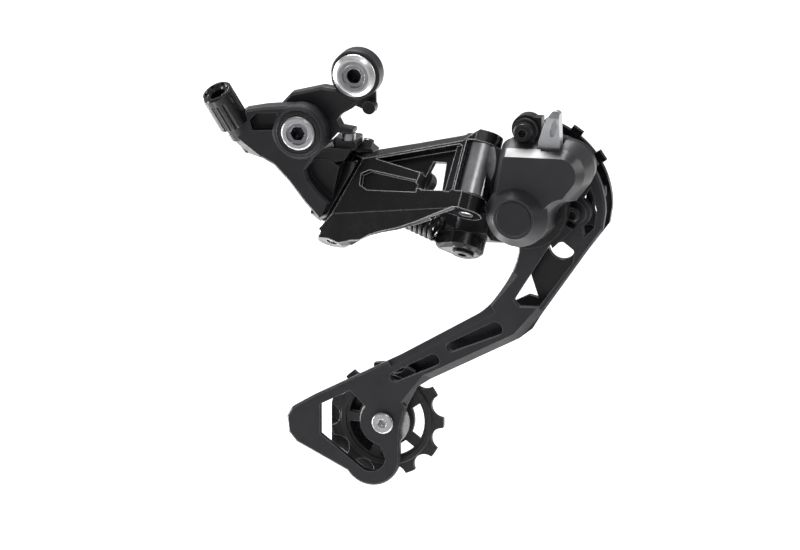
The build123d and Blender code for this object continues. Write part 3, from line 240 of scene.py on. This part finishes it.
cast = coated("cast_black", (0.004, 0.004, 0.005), (0.008, 0.008, 0.009), 0.0, (0.20, 0.30),
              grain=700, edge=(0.10, 0.10, 0.11), shine=0.5)
# the outer link's bright edge colour is a painted highlight: white rim lines along its edges and openings
link_black = coated("link_black", (0.004, 0.004, 0.005), (0.008, 0.008, 0.009), 0.0, (0.20, 0.30),
                    grain=700, edge=(0.62, 0.62, 0.64), shine=0.5, edge_reach=(0.0006, 0.008, 0.10))
forged = coated("forged_black", (0.014, 0.013, 0.016), (0.021, 0.020, 0.024), 0.0, (0.36, 0.48),
                grain=1400, grain_depth=0.00002, edge=(0.16, 0.16, 0.17), shine=0.4)
arm_body = coated("body_black", (0.008, 0.008, 0.010), (0.015, 0.015, 0.018), 0.0, (0.32, 0.44),
                  grain=900, edge=(0.12, 0.12, 0.13), shine=0.45)
cover_grey = coated("cover_grey", (0.016, 0.015, 0.018), (0.023, 0.022, 0.026), 0.0, (0.34, 0.44),
                    grain=2200, grain_depth=0.00002, edge=(0.10, 0.10, 0.11), shine=0.5)
cap_grey = coated("cap_grey", (0.015, 0.014, 0.017), (0.020, 0.019, 0.023), 0.0, (0.36, 0.46), grain=2000)
adjuster_black = coated("adjuster_black", (0.005, 0.005, 0.006), (0.012, 0.012, 0.013), 0.0, (0.16, 0.28),
                        grain=500, edge=(0.08, 0.08, 0.085), shine=0.5)
pulley_grey = coated("pulley_plastic", (0.012, 0.012, 0.012), (0.022, 0.022, 0.022), 0.0, (0.38, 0.52),
                     grain=1600, edge=(0.08, 0.08, 0.085))
dark_steel = coated("dark_steel", (0.020, 0.020, 0.022), (0.045, 0.044, 0.046), 0.6, (0.26, 0.40),
                    grain=1100, edge=(0.25, 0.25, 0.26))
spring_steel = coated("spring_steel", (0.05, 0.05, 0.052), (0.10, 0.10, 0.102), 0.9, (0.24, 0.36),
                      grain=1500)
lever_silver = coated("lever_silver", (0.46, 0.47, 0.49), (0.58, 0.59, 0.61), 0.8, (0.28, 0.38),
                      grain=1400, edge=(0.75, 0.75, 0.76))
bright_steel = coated("bright_steel", (0.42, 0.42, 0.43), (0.58, 0.58, 0.59), 1.0, (0.20, 0.34), grain=1300)
bush_plastic = coated("bush_plastic", (0.10, 0.09, 0.08), (0.15, 0.14, 0.13), 0.0, (0.45, 0.6))
seal_rubber = coated("seal_rubber", (0.010, 0.010, 0.010), (0.02, 0.02, 0.02), 0.0, (0.6, 0.8))

# the pivot body's front barrel is turned bare; its axis is the outer front pin
BARREL_START = (0.048, -0.011, -0.0355)
BARREL_AXIS = (0.0816497, 0.5715476, 0.8164966)
BARREL_RADIUS = 0.0064
BARREL_SPAN = (-0.0081, 0.0121)
pivot_black = Graph("pivot_black")
g = pivot_black
body_tone = g.blend(g.spread(g.noise(60, detail=5), 0, 1), (0.004, 0.004, 0.005), (0.008, 0.008, 0.009))
body_tone = g.blend(g.wear_and_highlight_edges(*EDGE_REACH), body_tone, (0.10, 0.10, 0.11))
metal_tone = g.blend(g.spread(g.noise(400, detail=6), 0, 1), (0.42, 0.42, 0.44), (0.52, 0.52, 0.54))
body_tone, bare = bare_barrel(g, BARREL_START, BARREL_AXIS, BARREL_RADIUS, *BARREL_SPAN,
                              body_tone, metal_tone)
g.link(body_tone, g.shader.inputs["Base Color"])
g.link(g.spread(bare, 0, 1, 0, 1), g.shader.inputs["Metallic"])
g.link(g.spread(g.noise(180, detail=6), 0.24, 0.36), g.shader.inputs["Roughness"])
g.shader.inputs["Specular IOR Level"].default_value = 0.5
g.link(g.bump(g.noise(700, detail=3), 0.3, 0.00003), g.shader.inputs["Normal"])

hanger_metal = turned("hanger_metal", (0.86, 0.86, 0.87), (0.94, 0.94, 0.95), (0.28, 0.40),
                      "hanger_bolt", rim=(0.0027, 0.0058, (0.34, 0.34, 0.36)))
axle_metal = turned("axle_metal", (0.60, 0.60, 0.61), (0.72, 0.72, 0.73), (0.26, 0.38),
                    "bracket_axle", rim=(0.0025, 0.0044, (0.26, 0.26, 0.28)))
bolt_metal = turned("bolt_metal", (0.60, 0.60, 0.61), (0.76, 0.76, 0.77), (0.18, 0.30),
                    "tension_pulley_bolt")
cap_metal = turned("cap_metal", (0.52, 0.52, 0.53), (0.70, 0.70, 0.71), (0.22, 0.34),
                   "tension_dust_caps")
guide_metal = turned("guide_cap_metal", (0.52, 0.52, 0.53), (0.70, 0.70, 0.71), (0.22, 0.34),
                     "guide_dust_caps")

FINISH = {
    "bracket_body": arm_body, "outer_link": link_black, "inner_link": cast,
    "pivot_body": pivot_black.material, "bracket_link": arm_body,
    "outer_cage_plate": forged, "inner_cage_plate": cast,
    "clutch_cover": cover_grey, "cover_cap": cap_grey, "adjuster_barrel": adjuster_black,
    "guide_pulley": pulley_grey, "tension_pulley": pulley_grey,
    "cover_screw": dark_steel, "stop_plate": dark_steel, "cable_clamp_washer": dark_steel,
    "cable_clamp_bolt": dark_steel, "cage_stop_pin": dark_steel, "guide_pulley_bolt": dark_steel,
    "inner_front_pin": dark_steel, "low_limit_screw": dark_steel, "high_limit_screw": dark_steel,
    "friction_band": dark_steel, "roller_clutch": dark_steel, "clutch_cam": dark_steel,
    "axle_dust_ring": dark_steel, "adjuster_stem": dark_steel,
    "return_spring": spring_steel, "cage_spring": spring_steel, "clutch_lever": lever_silver,
    "hanger_bolt": hanger_metal, "bracket_axle": axle_metal, "tension_pulley_bolt": bolt_metal,
    "outer_rear_pin": bright_steel, "outer_front_pin": bright_steel, "inner_rear_pin": bright_steel,
    "b_tension_screw": bright_steel, "bolt_snap_ring": bright_steel, "cage_axle": bright_steel,
    "guide_sleeve": bright_steel, "tension_sleeve": bright_steel,
    "tension_dust_caps": cap_metal, "guide_dust_caps": guide_metal,
    "bracket_bush": bush_plastic, "cage_bush": bush_plastic, "housing_seal": seal_rubber,
}

# how far each node's edges are rounded, in millimetres
EDGE_ROUNDING = {
    "bracket_body": 0.5, "outer_link": 0.45, "inner_link": 0.5, "pivot_body": 0.5, "bracket_link": 0.5,
    "outer_cage_plate": 0.3, "inner_cage_plate": 0.3, "clutch_cover": 0.8, "clutch_lever": 0.7,
    "hanger_bolt": 0.25, "bracket_axle": 0.2, "guide_pulley": 0.25, "tension_pulley": 0.25,
    "adjuster_barrel": 0.2, "stop_plate": 0.2, "cover_screw": 0.2, "tension_pulley_bolt": 0.2,
    "cable_clamp_bolt": 0.2, "cable_clamp_washer": 0.15, "cage_stop_pin": 0.15, "cover_cap": 0.15,
    "axle_dust_ring": 0.15, "b_tension_screw": 0.3, "inner_front_pin": 0.2, "cage_axle": 0.2,
    "tension_dust_caps": 0.1, "guide_dust_caps": 0.1, "guide_pulley_bolt": 0.2,
}
WELD_GAP = 0.000002
FLAT_ANGLE = math.radians(0.6)  # triangles this near to one plane become one face
SHARP_ANGLE = math.radians(13)  # edges sharper than this are rounded


def soften(piece, width):
    """Merges the CAD triangles into faces, rounds their edges by width mm and keeps flats flat."""
    weld = piece.modifiers.new("weld", "WELD")
    weld.merge_threshold = WELD_GAP
    flat = piece.modifiers.new("flat", "DECIMATE")
    flat.decimate_type = "DISSOLVE"
    flat.angle_limit = FLAT_ANGLE
    if width:
        bevel = piece.modifiers.new("edges", "BEVEL")
        bevel.width = width * MM
        bevel.segments = 3
        bevel.limit_method = "ANGLE"
        bevel.angle_limit = SHARP_ANGLE
        bevel.use_clamp_overlap = True
        bevel.miter_outer = "MITER_ARC"
    shade = piece.modifiers.new("shade", "WEIGHTED_NORMAL")
    shade.mode = "FACE_AREA"
    shade.weight = 60
    for polygon in piece.data.polygons:
        polygon.use_smooth = True


for name, piece in nodes.items():
    piece.data.materials.clear()
    piece.data.materials.append(FINISH[name])
    soften(piece, EDGE_ROUNDING.get(name, 0))

# ------------------------------------------------------------------ floor and light
FLOOR_DROP = 0.6  # the part hangs this far above the paper
HALF_WIDTH = 8.0
floor_z = cad_box[0][2] - FLOOR_DROP


def paper(name, profile, lit):
    """Strip of pale paper along a profile of (distance behind the part, height) points.

    lit is its glow as (in front, behind, distance where it starts to change, distance where it ends)."""
    away = -Vector((backward.x, backward.y, 0)).normalized()
    side = Vector((-away.y, away.x, 0))
    points = []
    for across in (-HALF_WIDTH, HALF_WIDTH):
        for along, height in profile:
            spot = away * along + side * across
            points.append((spot.x, spot.y, floor_z + height))
    count = len(profile)
    faces = [(i, i + 1, count + i + 1, count + i) for i in range(count - 1)]
    mesh = bpy.data.meshes.new(name)
    mesh.from_pydata(points, [], faces)
    for polygon in mesh.polygons:
        polygon.use_smooth = True
    sheet = bpy.data.objects.new(name, mesh)
    bpy.context.scene.collection.objects.link(sheet)
    g = Graph(name + "_paper")
    tone = g.blend(g.spread(g.noise(3, detail=6), 0, 1), (0.80, 0.80, 0.80), (0.84, 0.84, 0.84))
    g.link(tone, g.shader.inputs["Base Color"])
    g.shader.inputs["Roughness"].default_value = 0.9
    g.shader.inputs["Specular IOR Level"].default_value = 0.1
    g.shader.inputs["Emission Color"].default_value = (1, 1, 1, 1)
    # the paper behind the part is lit through, so it glows white; in front it is only pale
    depth = g.add("ShaderNodeVectorMath")
    depth.operation = "DOT_PRODUCT"
    depth.inputs[1].default_value = away
    g.link(g.place, depth.inputs[0])
    g.link(g.spread(depth.outputs["Value"], *lit), g.shader.inputs["Emission Strength"])
    mesh.materials.append(g.material)
    return sheet


REACH, WALL, CORNER, STEPS = 9.0, 5.0, 1.5, 16
curve = [(REACH - CORNER, 0.0)]
for step in range(1, STEPS + 1):
    angle = math.pi / 2 * step / STEPS
    curve.append((REACH - CORNER + CORNER * math.sin(angle), CORNER - CORNER * math.cos(angle)))
curve.append((REACH, WALL))
paper("floor", [(-REACH, 0.0), (-0.3, 0.0), (0.3, 0.0), (REACH - CORNER, 0.0)], (0.05, 1.0, -0.2, 1.4))
wall = paper("wall", curve, (1.0, 1.0, 0.0, 9.0))
wall.visible_glossy = False  # the black castings mirror a dark room above the paper's horizon


def softbox(name, place, size, power):
    """Rectangular lamp, size in metres and power in watts, that faces the part."""
    data = bpy.data.lights.new(name, "AREA")
    data.shape = "RECTANGLE"
    data.size, data.size_y = size
    data.energy = power
    lamp = bpy.data.objects.new(name, data)
    bpy.context.scene.collection.objects.link(lamp)
    lamp.location = place
    lamp.rotation_mode = "QUATERNION"
    lamp.rotation_quaternion = (TARGET - Vector(place)).to_track_quat("-Z", "Y")


softbox("key_top", (-0.24, 0.38, 0.95), (0.55, 0.45), 24)
softbox("left_strip", (-1.25, -0.42, -0.24), (0.35, 0.8), 11)
softbox("left_low", (-0.95, 0.52, -0.36), (0.5, 0.55), 14)
softbox("left_back", (-0.95, 0.75, 0.10), (0.45, 0.45), 11)
softbox("low_front", (0.06, -0.24, -0.68), (0.7, 0.25), 2.0)
softbox("right_rim", (1.1, 0.30, 0.35), (0.25, 0.9), 5)
softbox("front_high", (0.6, -1.4, 1.2), (0.5, 0.4), 4)

WORLD_STRENGTH = 0.26
world = bpy.data.worlds.new("studio")
world.use_nodes = True
background = world.node_tree.nodes["Background"]
background.inputs["Color"].default_value = (1, 1, 1, 1)
background.inputs["Strength"].default_value = WORLD_STRENGTH
bpy.context.scene.world = world
bpy.context.scene.view_settings.view_transform = "Standard"
